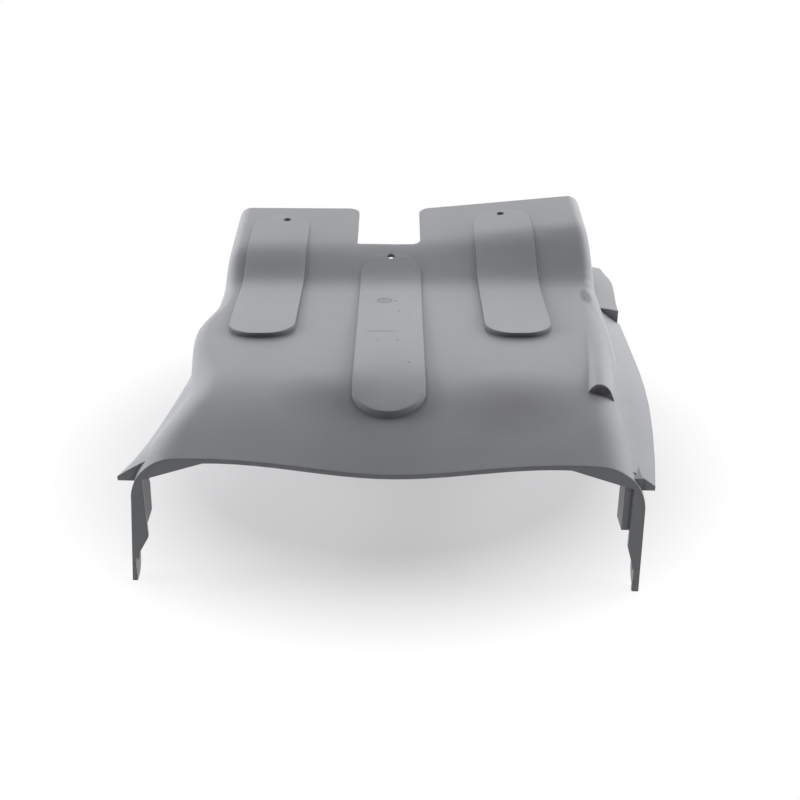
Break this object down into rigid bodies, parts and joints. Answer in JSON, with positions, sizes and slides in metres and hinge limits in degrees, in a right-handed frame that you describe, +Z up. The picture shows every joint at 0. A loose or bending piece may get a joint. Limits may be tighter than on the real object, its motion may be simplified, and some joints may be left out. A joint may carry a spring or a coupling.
{
  "type": "skid plate",
  "caption": "Moulded plastic skid plate: a ribbed panel with flared sides, front fixing legs, a rear step and a notched rear edge.",
  "frame": {"origin": "centre of the bounding box, on the plane that the feet and the rear walls stand on", "axes": "+X across the plate to the right seen from its legs, +Y from the legs to the notched edge, +Z up through the ribbed face"},
  "size_m": [0.365, 0.4034, 0.147],
  "materials": {
    "grey_plastic": "satin moulded"
  },
  "bodies": {
    "root": {"skid_plate": "grey_plastic"}
  },
  "joints": []
}
